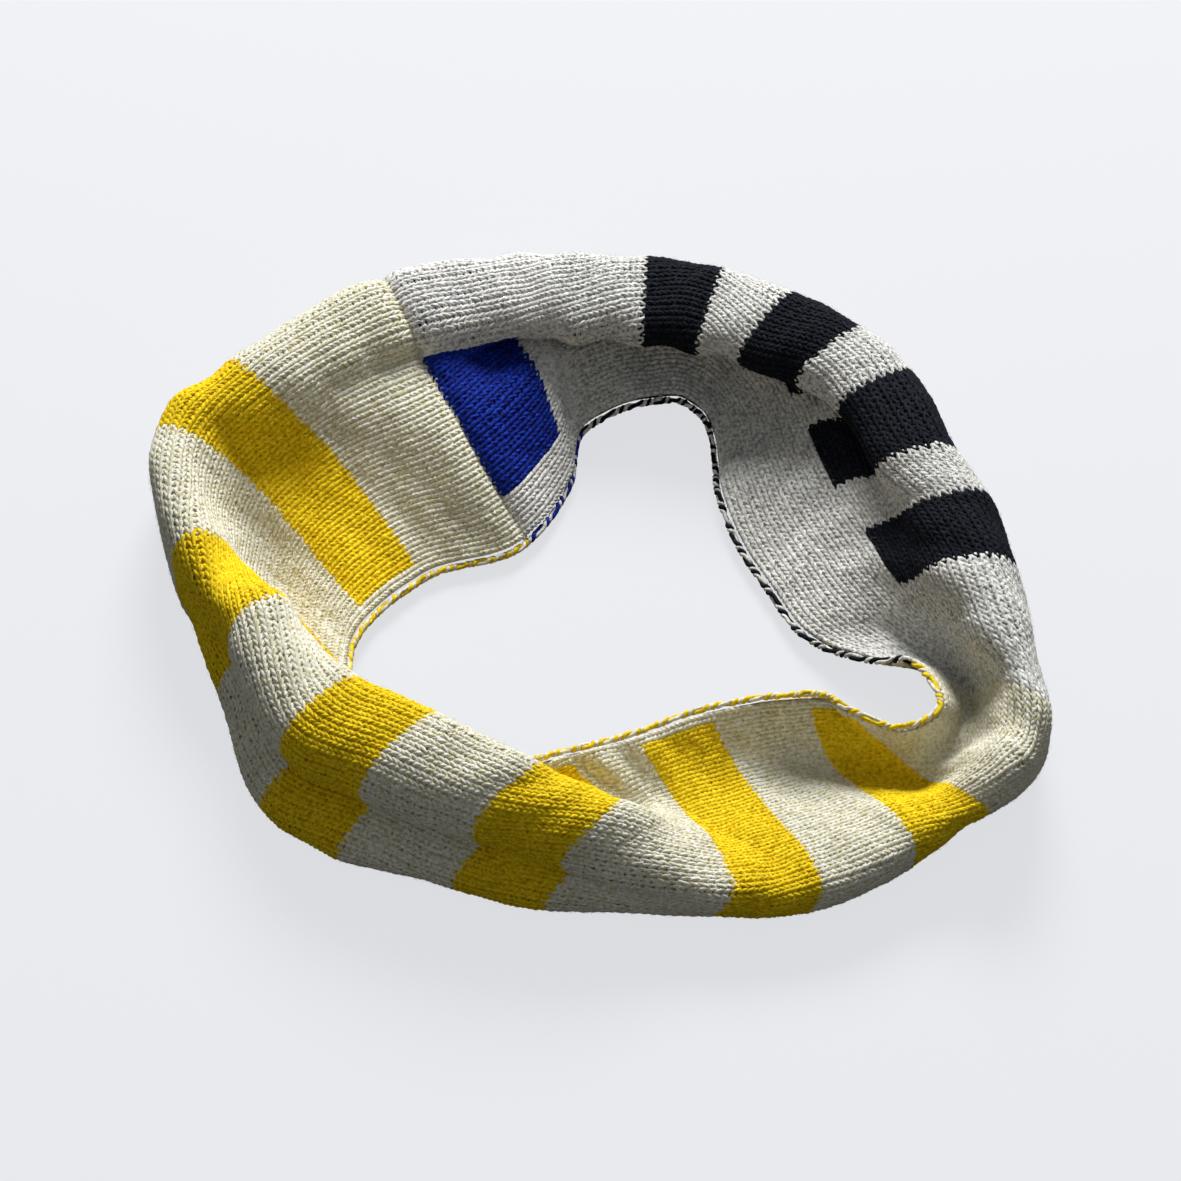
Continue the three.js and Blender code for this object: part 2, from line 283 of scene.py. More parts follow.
def round_the_loop(sections):
    """The middle of the fabric at every sampled course: a smooth curve through the stations on each wale."""
    spans = SPANS[:, None, None]
    before = np.roll(spans, 1, axis=0)
    ahead = (np.roll(sections, -1, axis=0) - sections) / spans
    back = np.roll(ahead, 1, axis=0)
    slopes = (back * spans + ahead * before) / (spans + before)
    course = np.arange(COURSES * PER_COURSE) / PER_COURSE
    station = np.searchsorted(STARTS, course, side="right") - 1
    after = (station + 1) % len(STATIONS)
    t = ((course - STARTS[station]) / SPANS[station])[:, None, None]
    span = spans[station]
    return (
        sections[station] * (2 * t**3 - 3 * t**2 + 1)
        + slopes[station] * (t**3 - 2 * t**2 + t) * span
        + sections[after] * (3 * t**2 - 2 * t**3)
        + slopes[after] * (t**3 - t**2) * span
    )


def along_loop(grid, reach):
    """The step along the loop at each point, from this many samples before it to as many after."""
    return np.roll(grid, -reach, axis=0) - np.roll(grid, reach, axis=0)


def across_strip(grid, reach):
    """The step across the strip at each point, shorter at its two edges."""
    columns = np.arange(grid.shape[1])
    last = grid.shape[1] - 1
    return grid[:, np.minimum(columns + reach, last)] - grid[:, np.maximum(columns - reach, 0)]


def face_normals(grid, reach):
    """The way the face of the fabric looks at each point."""
    normal = np.cross(across_strip(grid, reach), along_loop(grid, reach))
    return normal / np.linalg.norm(normal, axis=2, keepdims=True)


SEAM_GROOVE = 2.3
SEAM_GROOVE_COURSES = 1.1
SEAM_PUFF = 0.9
SEAM_PUFF_COURSES = (4.5, 3.0)      # where it is highest, and how wide
SEAM_STEP = (1.1, -0.33)            # before the seam and after it
SEAM_STEP_COURSES = 7.0
WAVES = 9                           # gentle unevenness of soft fabric
WAVE_HEIGHT = 0.22
WAVES_ROUND = (9, 42)               # how many fit round the loop
WAVES_ACROSS = (0.5, 4.0)
FREE_HEIGHT = 20                    # above the ground, where the fabric is free to be uneven
LEAST_UNEVEN = 0.15                 # the share left close to the ground


def unevenness(course, wale):
    """How far the fabric stands off the plain surface: the seam's groove and puff, and soft waves."""
    course, wale = np.broadcast_arrays(course, wale)
    beside = np.mod(course + COURSES / 2, COURSES) - COURSES / 2
    highest, wide = SEAM_PUFF_COURSES
    height = -SEAM_GROOVE * np.exp(-((beside / SEAM_GROOVE_COURSES) ** 2))
    height += SEAM_PUFF * np.exp(-(((np.abs(beside) - highest) / wide) ** 2))
    height += np.where(beside < 0, *SEAM_STEP) * np.exp(-((beside / SEAM_STEP_COURSES) ** 2))
    random = np.random.default_rng(SEED)
    for _ in range(WAVES):
        turns = random.integers(*WAVES_ROUND)
        ridges = random.uniform(*WAVES_ACROSS) * random.choice([-1, 1])
        angle = 2 * math.pi * (turns * course / COURSES + ridges * wale / WALES + random.random())
        height += WAVE_HEIGHT * np.sin(angle)
    return height


def build_surface():
    """Returns the middle of the fabric in metres, its face normals, how it bends, and one mm in metres."""
    sections = [cross_section(row[0], *np.array(row[2:], float)) for row in STATIONS]
    plain = round_the_loop(np.stack(sections))
    normal = face_normals(plain, PER_WALE)
    course = (np.arange(plain.shape[0]) / PER_COURSE)[:, None]
    wale = (np.arange(plain.shape[1]) / PER_WALE)[None, :]
    bend = across_strip(across_strip(plain, PER_WALE), PER_WALE)
    reach = np.linalg.norm(across_strip(plain, PER_WALE), axis=2)
    convex = -np.einsum("ijk,ijk->ij", bend, normal) / reach**2
    outer = np.concatenate([(plain + side * normal * THICKNESS / 2).reshape(-1, 3) for side in (-1, 1)])
    low, high = outer.min(axis=0), outer.max(axis=0)
    scale = (CAD_HIGH.x - CAD_LOW.x) / (high[0] - low[0])
    free = np.clip(plain[..., 2:] / FREE_HEIGHT, LEAST_UNEVEN, 1)
    middle = plain + normal * (unevenness(course, wale)[..., None] * free)
    centre = (low + high) / 2 * (1, 1, 0)
    cad_centre = np.array((*(CAD_LOW + CAD_HIGH).xy / 2, CAD_LOW.z))
    return (middle - centre) * scale + cad_centre, face_normals(middle, PER_WALE // 2), convex, scale


MIDDLE, NORMAL, CONVEX, MM = build_surface()


def sample(grid, course, wale):
    """The grid's value at any course and wale, in between its samples."""
    row = np.mod(course, COURSES) * PER_COURSE
    column = wale * PER_WALE
    i = np.floor(row).astype(int) % grid.shape[0]
    j = np.clip(np.floor(column).astype(int), 0, grid.shape[1] - 2)
    u = row - np.floor(row)
    v = column - j
    if grid.ndim == 3:
        u, v = u[..., None], v[..., None]
    after = (i + 1) % grid.shape[0]
    return (
        (grid[i, j] * (1 - v) + grid[i, j + 1] * v) * (1 - u)
        + (grid[after, j] * (1 - v) + grid[after, j + 1] * v) * u
    )


LOWEST = 0.05             # above the ground


def place(course, wale, height):
    """Points in metres at a height in mm above the middle of the fabric. Nothing goes below the ground."""
    course, wale, height = np.broadcast_arrays(course, wale, height)
    point = sample(MIDDLE, course, wale) + sample(NORMAL, course, wale) * (height * MM)[..., None]
    point[..., 2] = np.maximum(point[..., 2], LOWEST * MM)
    return point


# ------------------------------------------------------------------ meshes


class Shape:
    """Collects points and faces, and becomes one mesh object."""

    def __init__(self):
        self.points = []
        self.faces = []
        self.count = 0

    def add(self, points, *faces):
        self.points.append(points.reshape(-1, 3))
        self.faces += [face + self.count for face in faces]
        self.count += len(self.points[-1])

    def build(self, name, material):
        mesh = bpy.data.meshes.new(name)
        points = np.concatenate(self.points).astype(np.float32)
        mesh.vertices.add(len(points))
        mesh.vertices.foreach_set("co", points.ravel())
        corners = np.concatenate([face.ravel() for face in self.faces]).astype(np.int32)
        sizes = np.concatenate([np.full(len(face), face.shape[1]) for face in self.faces])
        mesh.loops.add(len(corners))
        mesh.loops.foreach_set("vertex_index", corners)
        mesh.polygons.add(len(sizes))
        mesh.polygons.foreach_set("loop_start", (np.cumsum(sizes) - sizes).astype(np.int32))
        mesh.polygons.foreach_set("use_smooth", np.ones(len(sizes), bool))
        mesh.update(calc_edges=True)
        mesh.materials.append(material)
        piece = bpy.data.objects.new(name, mesh)
        bpy.context.scene.collection.objects.link(piece)
        return piece


SHORTEST = 1e-12          # keeps a zero vector from dividing by zero


def unit(vectors):
    """The vectors, all one long."""
    return vectors / np.maximum(np.linalg.norm(vectors, axis=-1, keepdims=True), SHORTEST)


def add_tubes(shape, centre, normal, wide, deep, sides):
    """Closed tubes along each row of centre, oval in section: wide across the fabric, deep through it."""
    rows, rings = centre.shape[:2]
    tangent = unit(np.gradient(centre, axis=1))
    beside = unit(np.cross(tangent, normal))
    above = np.cross(beside, tangent)
    angle = np.arange(sides) * (2 * math.pi / sides)
    wide, deep = (np.broadcast_to(np.asarray(size) * MM, (rows, rings)) for size in (wide, deep))
    ring = (
        centre[:, :, None]
        + beside[:, :, None] * (wide[..., None] * np.cos(angle))[..., None]
        + above[:, :, None] * (deep[..., None] * np.sin(angle))[..., None]
    )
    ring[..., 2] = np.maximum(ring[..., 2], LOWEST * MM)
    number = np.arange(rows * rings * sides).reshape(rows, rings, sides)
    turned = np.roll(number, -1, axis=2)
    quads = np.stack([number[:, :-1], number[:, 1:], turned[:, 1:], turned[:, :-1]], axis=-1)
    shape.add(ring, quads.reshape(-1, 4), number[:, 0], number[:, -1, ::-1])


def add_sheet(shape, course, wale, top, bottom):
    """A closed sheet over a grid of courses and wales, between two heights."""
    grid = np.meshgrid(course, wale, indexing="ij")
    points = np.stack([place(*grid, top(*grid)), place(*grid, bottom(*grid))])
    number = np.arange(2 * len(course) * len(wale)).reshape(2, len(course), len(wale))
    upper, under = number
    faces = [
        np.stack([upper[:-1, :-1], upper[:-1, 1:], upper[1:, 1:], upper[1:, :-1]], axis=-1).reshape(-1, 4),
        np.stack([under[:-1, :-1], under[1:, :-1], under[1:, 1:], under[:-1, 1:]], axis=-1).reshape(-1, 4),
    ]
    border = [(upper[0], under[0]), (upper[:, -1], under[:, -1])]
    border += [(upper[-1, ::-1], under[-1, ::-1]), (upper[::-1, 0], under[::-1, 0])]
    for over, below in border:
        faces.append(np.stack([over[1:], over[:-1], below[:-1], below[1:]], axis=-1))
    shape.add(points, *faces)
    return np.concatenate([np.stack(grid, axis=-1).reshape(-1, 2)] * 2)


# ------------------------------------------------------------------ wool


def node(tree, kind, links=None, **settings):
    """Adds a node, sets its inputs or settings, and links other sockets into it."""
    made = tree.nodes.new(kind)
    for key, value in settings.items():
        name = key.replace("_", " ").title()
        if name in made.inputs:
            made.inputs[name].default_value = value
        else:
            setattr(made, key, value)
    for socket, source in (links or {}).items():
        tree.links.new(source, made.inputs[socket])
    return made


def colour(red, green, blue):
    """A colour as linear light from the usual 0 to 255 screen values, by the sRGB formula."""
    values = [channel / 255 for channel in (red, green, blue)]
    return (*[v / 12.92 if v <= 0.04045 else ((v + 0.055) / 1.055) ** 2.4 for v in values], 1)


def ramp(tree, source, stops):
    """A colour ramp through the stops, each a position and a colour."""
    made = tree.nodes.new("ShaderNodeValToRGB")
    elements = made.color_ramp.elements
    while len(elements) < len(stops):
        elements.new(0.5)
    for element, (position, value) in zip(elements, stops):
        element.position = position
        element.color = value
    tree.links.new(source, made.inputs["Fac"])
    return made.outputs["Color"]


NOISES = {"fibre": (2600, 2), "marl": (620, 3), "cloud": (38, 2)}     # scale per metre, detail
NOISE_ROUGHNESS = 0.6
WOOL_ROUGHNESS = (0.78, 1.0)
FIBRE_BUMP = {"strength": 0.55, "distance": 0.00035}
SPECULAR = 0.2
MARL_STOPS = (0.36, 0.5, 0.64)
CLOUD_STOPS = ((0.3, (0.9, 0.9, 0.9, 1)), (0.7, (1, 1, 1, 1)))
SHEEN_ROUGHNESS = 0.5
BACKING_SHEEN = 0.2
SPECK_EDGE = 0.12


def wool_base(name):
    """An empty wool material with its shader, and noise at the scales of fibre, marl and whole areas."""
    material = bpy.data.materials.new(name)
    material.use_nodes = True
    tree = material.node_tree
    shader = tree.nodes["Principled BSDF"]
    place_of = tree.nodes.new("ShaderNodeTexCoord").outputs["Object"]
    fibre, marl, cloud = (
        node(
            tree, "ShaderNodeTexNoise", {"Vector": place_of},
            scale=scale, detail=detail, roughness=NOISE_ROUGHNESS)
        for scale, detail in NOISES.values()
    )
    rough = node(tree, "ShaderNodeMapRange", {"Value": fibre.outputs["Fac"]})
    rough.inputs["To Min"].default_value, rough.inputs["To Max"].default_value = WOOL_ROUGHNESS
    tree.links.new(rough.outputs["Result"], shader.inputs["Roughness"])
    bump = node(tree, "ShaderNodeBump", {"Height": fibre.outputs["Fac"]}, **FIBRE_BUMP)
    tree.links.new(bump.outputs["Normal"], shader.inputs["Normal"])
    shader.inputs["Specular IOR Level"].default_value = SPECULAR
    return material, tree, shader, marl, cloud


def yarn(name, dark, plain, light, sheen):
    """Lambswool yarn: three tones of fibre mixed along it, and slow changes over the fabric."""
    material, tree, shader, marl, cloud = wool_base(name)
    tones = ramp(tree, marl.outputs["Fac"], list(zip(MARL_STOPS, (dark, plain, light))))
    shade = ramp(tree, cloud.outputs["Fac"], CLOUD_STOPS)
    blend = tree.nodes.new("ShaderNodeMix")
    blend.data_type = "RGBA"
    blend.blend_type = "MULTIPLY"
    blend.inputs["Factor"].default_value = 1
    tree.links.new(tones, blend.inputs["A"])
    tree.links.new(shade, blend.inputs["B"])
    tree.links.new(blend.outputs["Result"], shader.inputs["Base Color"])
    shader.inputs["Sheen Weight"].default_value = sheen
    shader.inputs["Sheen Roughness"].default_value = SHEEN_ROUGHNESS
    shader.inputs["Sheen Tint"].default_value = light
    return material


def backing(name, cream, contrast):
    """The back of the double knit: stitches of both yarns, mixed stitch by stitch. UVs are wales and courses,
    and the mesh says what share of its stitches has the contrast yarn."""
    material, tree, shader, _, _ = wool_base(name)
    stitch = node(tree, "ShaderNodeUVMap", uv_map="knit").outputs["UV"]
    whole = node(tree, "ShaderNodeVectorMath", {0: stitch}, operation="FLOOR")
    pick = node(tree, "ShaderNodeTexWhiteNoise", {"Vector": whole.outputs["Vector"]}, noise_dimensions="2D")
    share = node(tree, "ShaderNodeAttribute", attribute_name="contrast_share")
    values = {0: pick.outputs["Value"], 1: share.outputs["Fac"]}
    over = node(tree, "ShaderNodeMath", values, operation="SUBTRACT")
    specks = ramp(tree, over.outputs["Value"], [(0.0, contrast), (SPECK_EDGE, cream)])
    tree.links.new(specks, shader.inputs["Base Color"])
    shader.inputs["Sheen Weight"].default_value = BACKING_SHEEN
    return material


IVORY = colour(226, 221, 206)
WOOL = {
    "cream_on_yellow": yarn(
        "cream_on_yellow", colour(200, 193, 150), colour(226, 222, 200), colour(243, 241, 230), 0.25),
    "cream_on_black": yarn(
        "cream_on_black", colour(160, 160, 158), colour(212, 211, 205), colour(240, 239, 234), 0.25),
    "cream_on_blue": yarn(
        "cream_on_blue", colour(178, 180, 186), colour(223, 221, 214), colour(242, 240, 235), 0.25),
    "yellow": yarn("yellow", colour(206, 168, 6), colour(240, 206, 14), colour(252, 224, 44), 0.12),
    "black": yarn("black", colour(5, 7, 13), colour(12, 15, 25), colour(30, 35, 48), 0.05),
    "blue": yarn("blue", colour(3, 16, 84), colour(6, 32, 134), colour(16, 60, 178), 0.06),
}
CONTRAST = {"yellow": colour(226, 184, 30), "black": colour(34, 37, 46), "blue": colour(22, 48, 140)}
SHARE = {"yellow": 0.45, "black": 0.6, "blue": 0.6}     # of the backing's stitches in the contrast yarn
SHARE_IN_BLOCK = 1.0
SHARE_UNDERNEATH = 0.5
BACKING = {name: backing(f"{name}_backing", IVORY, CONTRAST[name]) for name in CONTRAST}

# ------------------------------------------------------------------ stitches

SEGMENTS = 8              # per stitch
SIDES = 5
LOOP_HEIGHT = 0.86        # courses, from the middle of a stitch to its head
LOOP_LEAN = 0.27          # wales
LOOP_DEPTH = 0.36
FACE_HEIGHT = 0.98        # of the yarn above the middle of the fabric
YARN_WIDE = 1.04
YARN_DEEP = 0.66
OPENING = 0.26            # how much stitches draw together where the fold stretches the fabric
OPENING_BEND = (0.004, 0.032)
OPENING_THINS = 0.1       # of the yarn's width
STRAY = {"course": 0.07, "height": 0.13, "width": 0.10}
STRAYS_PER_WALE = 2


def drawn_strays():
    """The irregularities of all stitches, a few for each wale of each course."""
    random = np.random.default_rng(SEED)
    size = (COURSES, WALES * STRAYS_PER_WALE + 1)
    return {key: random.normal(0, spread, size) for key, spread in STRAY.items()}


STRAYS = drawn_strays()


def stray(key, rows, across):
    """A small irregularity of each stitch that runs smoothly along its yarn."""
    column = across * STRAYS_PER_WALE
    j = np.clip(np.floor(column).astype(int), 0, WALES * STRAYS_PER_WALE - 1)
    t = np.clip(column - j, 0, 1)
    t = t * t * (3 - 2 * t)
    values = STRAYS[key][rows]
    return values[:, j] * (1 - t) + values[:, j + 1] * t


def add_stitches(shape, courses, wales):
    """One yarn for each course, looping once for each wale. Courses and wales are whole numbers."""
    rows = np.arange(*courses)
    turn = np.arange((wales[1] - wales[0]) * SEGMENTS + 1) / SEGMENTS
    phase = 2 * math.pi * (turn - 0.5)
    swing = LOOP_LEAN * np.sin(2 * phase)
    inside = np.mod(turn, 1) - 0.5
    across = wales[0] + turn
    middle_course = rows[:, None] + 0.5
    bend = sample(CONVEX, *np.broadcast_arrays(middle_course, across))
    stretched = np.clip((bend - OPENING_BEND[0]) / (OPENING_BEND[1] - OPENING_BEND[0]), 0, 1)
    drawn = -OPENING * stretched * inside * (1 - (2 * inside) ** 2)
    wale = across + swing + drawn
    course = middle_course - LOOP_HEIGHT * np.cos(phase) + stray("course", rows, across)
    height = FACE_HEIGHT - LOOP_DEPTH * np.cos(2 * phase) + stray("height", rows, across)
    centre = place(course, wale, height)
    normal = sample(NORMAL, course, wale)
    plump = 1 + stray("width", rows, across)
    wide = YARN_WIDE * plump * (1 - OPENING_THINS * stretched)
    add_tubes(shape, centre, normal, wide, YARN_DEEP * plump, SIDES)


# ------------------------------------------------------------------ lengths and blocks

LENGTHS = {
    "yellow_far": ("yellow", 0, START_OF["left_end"]),
    "yellow_near": ("yellow", START_OF["left_end"], START_OF["black_yarn_start"]),
    "black": ("black", START_OF["black_yarn_start"], START_OF["blue_yarn_start"]),
    "blue": ("blue", START_OF["blue_yarn_start"], COURSES),
}
BLOCKS = {
    f"{name}_block_{n}": (name, START_OF[f"{name}_{n}_start"], START_OF[f"{name}_{n}_end"], wales)
    for name, count, wales in (("yellow", 6, YELLOW_BLOCK), ("black", 4, BLACK_BLOCK))
    for n in range(1, count + 1)
}
BLOCKS["blue_block"] = ("blue", START_OF["blue_block_start"], COURSES, BLUE_BLOCK)
MOST_COURSES = 26         # in one piece

# Where the loop folds in half: fabric this near the hinge stays in place on neither half, and the rest rides
# on its own half.
FOLD = next(joint for joint in frame["joints"] if joint["name"] == "fold_in_half")
FOLD_AXIS = np.array(FOLD["axis"][:2]) / np.linalg.norm(FOLD["axis"][:2])
TO_NEAR = np.array((FOLD_AXIS[1], -FOLD_AXIS[0]))
TO_NEAR *= np.sign(-TO_NEAR[1])
FOLD_REACH = 55 * MM
FOLD_PLACE = np.array(FOLD["pos_m"])


def hang(piece, nodes):
    """Puts a finished piece on its half of the loop, or leaves it in place, on neither half, where it lies
    across the fold.
    """
    points = np.zeros(len(piece.data.vertices) * 3, np.float32)
    piece.data.vertices.foreach_get("co", points)
    beyond = (points.reshape(-1, 3)[:, :2] - FOLD_PLACE[:2]) @ TO_NEAR
    if beyond.max() <= -FOLD_REACH:
        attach(piece, FOLD["parent"])
    elif beyond.min() >= FOLD_REACH:
        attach(piece, FOLD["child"])
    else:
        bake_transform(piece)
    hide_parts(*nodes)


def stretches(start, end, most):
    """Splits a run of courses into nearly equal stretches."""
    count = math.ceil((end - start) / most)
    marks = [start + round((end - start) * k / count) for k in range(count + 1)]
    return list(zip(marks[:-1], marks[1:]))


def ground_runs(row):
    """The runs of wales that are cream at a course."""
    for _, start, end, wales in BLOCKS.values():
        if start <= row < end:
            return [(RIM_WALES, wales[0]), (wales[1], WALES - RIM_WALES)]
    return [(RIM_WALES, WALES - RIM_WALES)]


def build_ground():
    """The cream yarn of the face, in stretches, with the blocks left out."""
    for length, (name, start, end) in LENGTHS.items():
        for k, (first, last) in enumerate(stretches(start, end, MOST_COURSES), 1):
            shape = Shape()
            begin = first
            for row in range(first + 1, last + 1):
                if row == last or ground_runs(row) != ground_runs(begin):
                    for wales in ground_runs(begin):
                        add_stitches(shape, (begin, row), wales)
                    begin = row
            piece = shape.build(f"{length}_ground_yarn_{k}", WOOL[f"cream_on_{name}"])
            hang(piece, [f"{length}_ground_face"])


def build_blocks():
    """The contrast yarn of each block."""
    for block, (name, start, end, wales) in BLOCKS.items():
        shape = Shape()
        add_stitches(shape, (start, end), wales)
        piece = shape.build(f"{block}_yarn", WOOL[name])
        hang(piece, [block])


BACK_TOP = 0.12
BACK_MIDDLE = -1.35
BACK_RELIEF = 0.42
BACK_DIP = 0.25           # of the relief
BACK_PER_WALE = 4
BACK_PER_COURSE = 2


def back_height(course, wale):
    """The back's own columns of stitches, one for each wale, with a dip between two courses."""
    column = np.abs(np.sin(math.pi * wale))
    dip = BACK_DIP * np.cos(2 * math.pi * course)
    return BACK_MIDDLE - BACK_RELIEF * (column - 0.5 + dip)


def build_backing():
    """The back layer of the knit, as a closed sheet with its own relief of stitches."""
    for length, (name, start, end) in LENGTHS.items():
        for k, (first, last) in enumerate(stretches(start, end, 2 * MOST_COURSES), 1):
            shape = Shape()
            course = np.linspace(first, last, (last - first) * BACK_PER_COURSE + 1)
            wales = WALES - 2 * RIM_WALES
            wale = np.linspace(RIM_WALES, WALES - RIM_WALES, wales * BACK_PER_WALE + 1)
            knit = add_sheet(shape, course, wale, lambda c, w: BACK_TOP + 0 * c, back_height)
            piece = shape.build(f"{length}_back_knit_{k}", BACKING[name])
            corners = np.zeros(len(piece.data.loops), np.int32)
            piece.data.loops.foreach_get("vertex_index", corners)
            layer = piece.data.uv_layers.new(name="knit")
            layer.data.foreach_set("uv", knit[corners][:, ::-1].astype(np.float32).ravel())
            share = np.full(len(knit), SHARE[name], np.float32)
            share[in_a_block(*knit.T)] = SHARE_IN_BLOCK
            share[len(knit) // 2:] = SHARE_UNDERNEATH
            piece.data.attributes.new("contrast_share", "FLOAT", "POINT").data.foreach_set("value", share)
            hang(piece, [f"{length}_back_layer"])


# ------------------------------------------------------------------ selvedges, seam and fuzz

CORD_TURN = 3.1           # courses in one turn of the two twisted yarns
CORD_RADIUS = 0.72
CORD_YARN = {"contrast": 0.98, "cream": 0.86}
CORD_WALE = 0.42
CORD_STEPS = 14           # per turn
CORD_SIDES = 7
CORD_DRIFT = 0.5          # how unevenly the two yarns twist, in turns
CORD_DRIFT_COURSES = (5, 23)


def add_cord(shape, start, end, wale, half_turn):
    """One of the two yarns of a selvedge, twisted round the other, which is half a turn on."""
    course = np.linspace(start, end, round((end - start) / CORD_TURN * CORD_STEPS) + 1)[None]
    drift = sum(np.sin(2 * math.pi * course / wave) for wave in CORD_DRIFT_COURSES) * CORD_DRIFT / 2
    angle = 2 * math.pi * (course / CORD_TURN + drift) + half_turn * math.pi
    offset = CORD_RADIUS * np.cos(angle) / WALE_WIDTH
    centre = place(course, wale + offset, CORD_RADIUS * np.sin(angle))
    normal = sample(NORMAL, course, wale + 0 * course)
    yarn_radius = CORD_YARN["cream" if half_turn else "contrast"]
    add_tubes(shape, centre, normal, yarn_radius, yarn_radius, CORD_SIDES)


def build_selvedges():
    """The two edges of the strip, where the contrast yarn and the cream yarn twist round each other."""
    edges = {"inner": CORD_WALE, "outer": WALES - CORD_WALE}
    for length, (name, start, end) in LENGTHS.items():
        for side, wale in edges.items():
            for half_turn, own in enumerate((name, f"cream_on_{name}")):
                shape = Shape()
                add_cord(shape, start, end, wale, half_turn)
                tone = name if half_turn == 0 else "cream"
                piece = shape.build(f"{length}_{side}_selvedge_{tone}", WOOL[own])
                hang(piece, [f"{length}_{side}_selvedge"])


CHAIN_HEIGHT = 0.2
CHAIN_SWING = 0.45        # courses
CHAIN_YARN = 0.55
CHAIN_SWELL = 0.6         # of the yarn's radius, up and down
CHAIN_STEPS = 10
EDGE = 0.2                # wales left free at both edges of the strip


def build_chain():
    """The linked seam: a chain stitch that zigzags along the bottom of the groove."""
    shape = Shape()
    wale = np.linspace(EDGE, WALES - EDGE, WALES * CHAIN_STEPS)[None]
    for half_turn in (0, 1):
        angle = 2 * math.pi * wale + half_turn * math.pi
        course = CHAIN_SWING * np.cos(angle)
        height = CHAIN_HEIGHT + CHAIN_YARN * np.sin(angle) * CHAIN_SWELL
        centre = place(course, wale, height)
        add_tubes(shape, centre, sample(NORMAL, course, wale), CHAIN_YARN, CHAIN_YARN, SIDES)
    piece = shape.build("seam_chain_yarn", WOOL["cream_on_yellow"])
    hang(piece, ["seam_linking_chain"])


FIBRES_PER_STITCH = {"cream": 1.2, "yellow": 0.5, "black": 1.1, "blue": 0.7}
FIBRE_LENGTH = (2.0, 6.0)
FIBRE_RISE = (0.4, 1.6)
FIBRE_START = 0.4         # above the middle of the yarn
FIBRE_BEND = 0.9
FIBRE_LANDS = 1 / 1.15    # of its length
FIBRE_RADIUS = 0.028
FIBRE_POINTS = 5
FIBRE_SIDES = 3
FIBRE_COURSE = 0.79       # of a wale's width: what a fibre counts as one course


def in_a_block(course, wale):
    """Which of the places lie in one of the blocks."""
    inside = np.zeros(course.shape, bool)
    for _, start, end, wales in BLOCKS.values():
        inside |= (course >= start) & (course <= end) & (wale >= wales[0]) & (wale <= wales[1])
    return inside


def add_fibres(shape, random, courses, wales, per_stitch, between_blocks=False):
    """Loose fibres that leave the yarn, arch over the face and lie down again."""
    count = int((courses[1] - courses[0]) * (wales[1] - wales[0]) * per_stitch)
    start_course = random.uniform(*courses, (count, 1))
    start_wale = random.uniform(*wales, (count, 1))
    if between_blocks:
        kept = ~in_a_block(start_course, start_wale)[:, 0]
        start_course, start_wale = start_course[kept], start_wale[kept]
        count = len(start_course)
    heading = random.uniform(0, 2 * math.pi, (count, 1))
    bend = random.normal(0, FIBRE_BEND, (count, 1))
    length = random.uniform(*FIBRE_LENGTH, (count, 1))
    rise = random.uniform(*FIBRE_RISE, (count, 1))
    t = np.linspace(0, 1, FIBRE_POINTS)[None]
    courses_long = length / (WALE_WIDTH * FIBRE_COURSE)
    wales_long = length / WALE_WIDTH
    course = start_course + courses_long * t * np.cos(heading + bend * t)
    wale = np.clip(start_wale + wales_long * t * np.sin(heading + bend * t), EDGE, WALES - EDGE)
    height = FACE_HEIGHT + FIBRE_START + rise * np.sin(math.pi * np.minimum(t / FIBRE_LANDS, 1))
    centre = place(course, wale, height)
    add_tubes(shape, centre, sample(NORMAL, course, wale), FIBRE_RADIUS, FIBRE_RADIUS, FIBRE_SIDES)


def build_fuzz():
    """Loose fibres over the cream ground and over each block."""
    random = np.random.default_rng(SEED + 1)
    for length, (name, start, end) in LENGTHS.items():
        for k, courses in enumerate(stretches(start, end, 4 * MOST_COURSES), 1):
            shape = Shape()
            wales = (RIM_WALES, WALES - RIM_WALES)
            add_fibres(shape, random, courses, wales, FIBRES_PER_STITCH["cream"], between_blocks=True)
            piece = shape.build(f"{length}_loose_fibres_{k}", WOOL[f"cream_on_{name}"])
            hang(piece, [])
    for block, (name, start, end, wales) in BLOCKS.items():
        shape = Shape()
        add_fibres(shape, random, (start, end), wales, FIBRES_PER_STITCH[name])
        piece = shape.build(f"{block}_loose_fibres", WOOL[name])
        hang(piece, [])


# ------------------------------------------------------------------ floor, light and camera, in metres

FLOOR_HALF = 4.0
FLOOR_HEIGHT = -0.0004    # just under the object
FLOOR_COLOUR = colour(228, 229, 233)
FLOOR_BOUNCE = (0.12, 0.12, 0.125, 1)     # a floor dark enough that its shadow hardly shows
FLOOR_GLOW = 0.9
SKY_COLOUR = (0.93, 0.96, 1.0, 1)
SKY_STRENGTH = 0.2
KEY_PLACE = (0.12, 1.68, 1.42)
KEY_SIZE = 1.0
KEY_POWER = 79
TARGET = Vector((0.004, -0.0115, 0.025))
CAMERA_DISTANCE = 1.6
CAMERA_ELEVATION = math.radians(55)
CAMERA_LENS = 116.1
CAMERA_SHIFT = -0.008


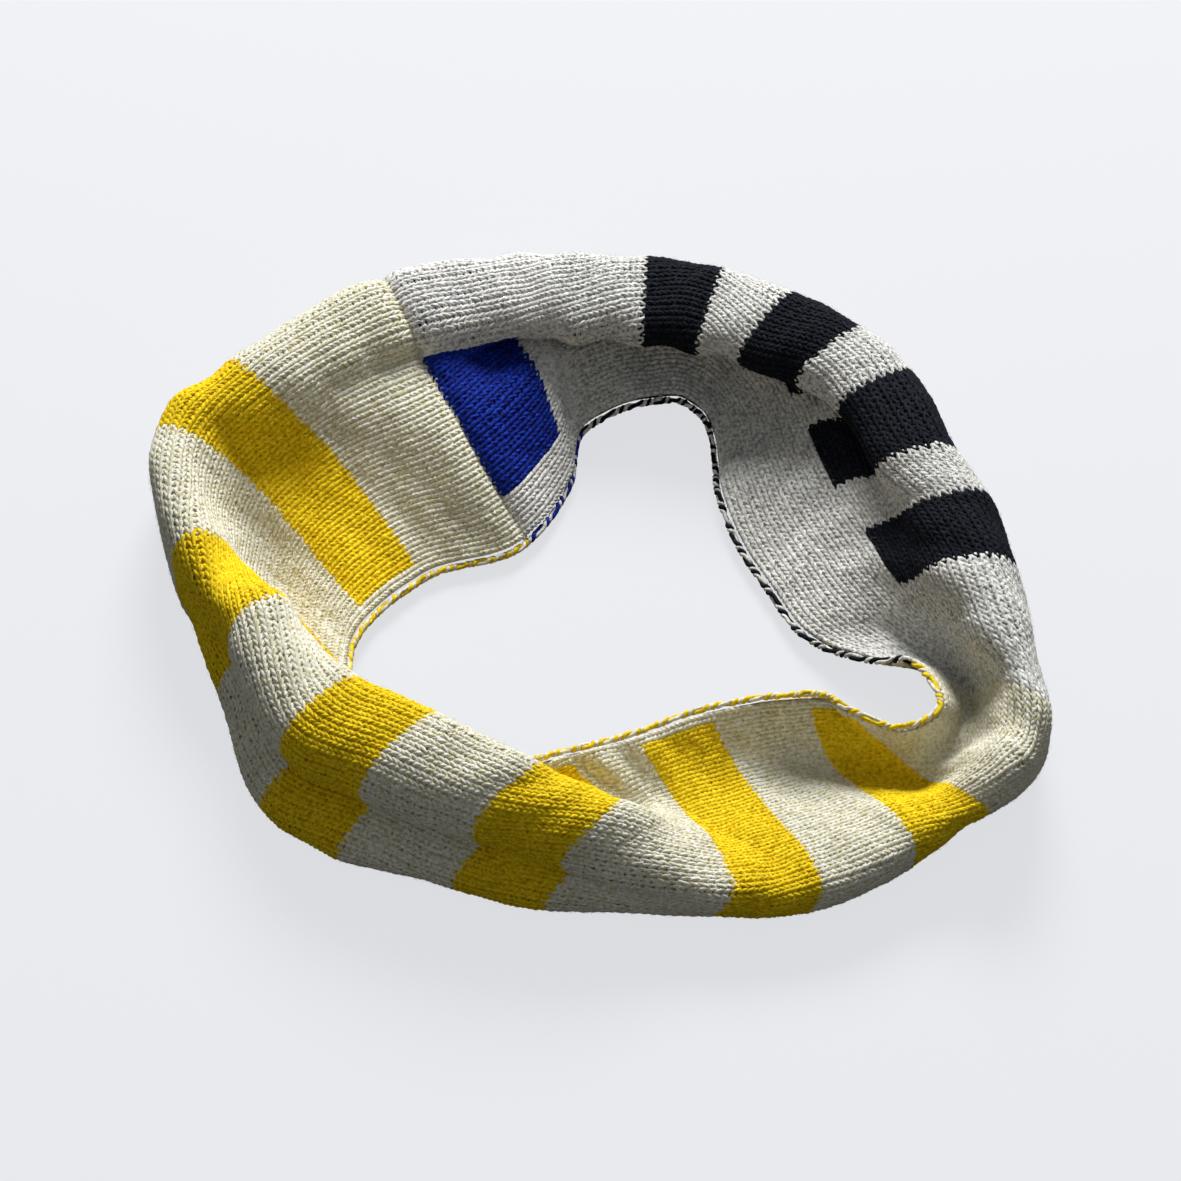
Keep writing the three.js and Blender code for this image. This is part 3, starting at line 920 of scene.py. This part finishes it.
def build_floor():
    """A pale floor that the camera sees evenly lit, whatever falls on it."""
    mesh = bpy.data.meshes.new("floor")
    signs = ((-1, -1), (1, -1), (1, 1), (-1, 1))
    corners = [(x * FLOOR_HALF, y * FLOOR_HALF, FLOOR_HEIGHT) for x, y in signs]
    mesh.from_pydata(corners, [], [(0, 1, 2, 3)])
    material = bpy.data.materials.new("pale_floor")
    material.use_nodes = True
    shader = material.node_tree.nodes["Principled BSDF"]
    shader.inputs["Base Color"].default_value = FLOOR_BOUNCE
    shader.inputs["Emission Color"].default_value = FLOOR_COLOUR
    seen = material.node_tree.nodes.new("ShaderNodeLightPath").outputs["Is Camera Ray"]
    glow = node(material.node_tree, "ShaderNodeMath", {0: seen}, operation="MULTIPLY")
    glow.inputs[1].default_value = FLOOR_GLOW
    material.node_tree.links.new(glow.outputs["Value"], shader.inputs["Emission Strength"])
    shader.inputs["Roughness"].default_value = 1.0
    shader.inputs["Specular IOR Level"].default_value = 0.0
    mesh.materials.append(material)
    floor = bpy.data.objects.new("floor", mesh)
    bpy.context.scene.collection.objects.link(floor)


def build_light():
    world = bpy.data.worlds.new("soft_studio")
    world.use_nodes = True
    world.node_tree.nodes["Background"].inputs["Color"].default_value = SKY_COLOUR
    world.node_tree.nodes["Background"].inputs["Strength"].default_value = SKY_STRENGTH
    bpy.context.scene.world = world
    lamp = bpy.data.lights.new("key", "AREA")
    lamp.shape = "DISK"
    lamp.size = KEY_SIZE
    lamp.energy = KEY_POWER
    key = bpy.data.objects.new("key", lamp)
    key.location = KEY_PLACE
    key.rotation_euler = (Vector(KEY_PLACE) - TARGET).to_track_quat("Z", "Y").to_euler()
    bpy.context.scene.collection.objects.link(key)


def build_camera():
    lens = bpy.data.cameras.new("camera")
    lens.lens = CAMERA_LENS
    lens.shift_x = CAMERA_SHIFT
    camera = bpy.data.objects.new("camera", lens)
    away = Vector((0, -math.cos(CAMERA_ELEVATION), math.sin(CAMERA_ELEVATION)))
    camera.location = TARGET + away * CAMERA_DISTANCE
    camera.rotation_euler = away.to_track_quat("Z", "Y").to_euler()
    bpy.context.scene.collection.objects.link(camera)
    bpy.context.scene.camera = camera


bpy.context.scene.view_settings.view_transform = "Standard"

build_ground()
build_blocks()
build_backing()
build_selvedges()
build_chain()
build_fuzz()
build_floor()
build_light()
build_camera()
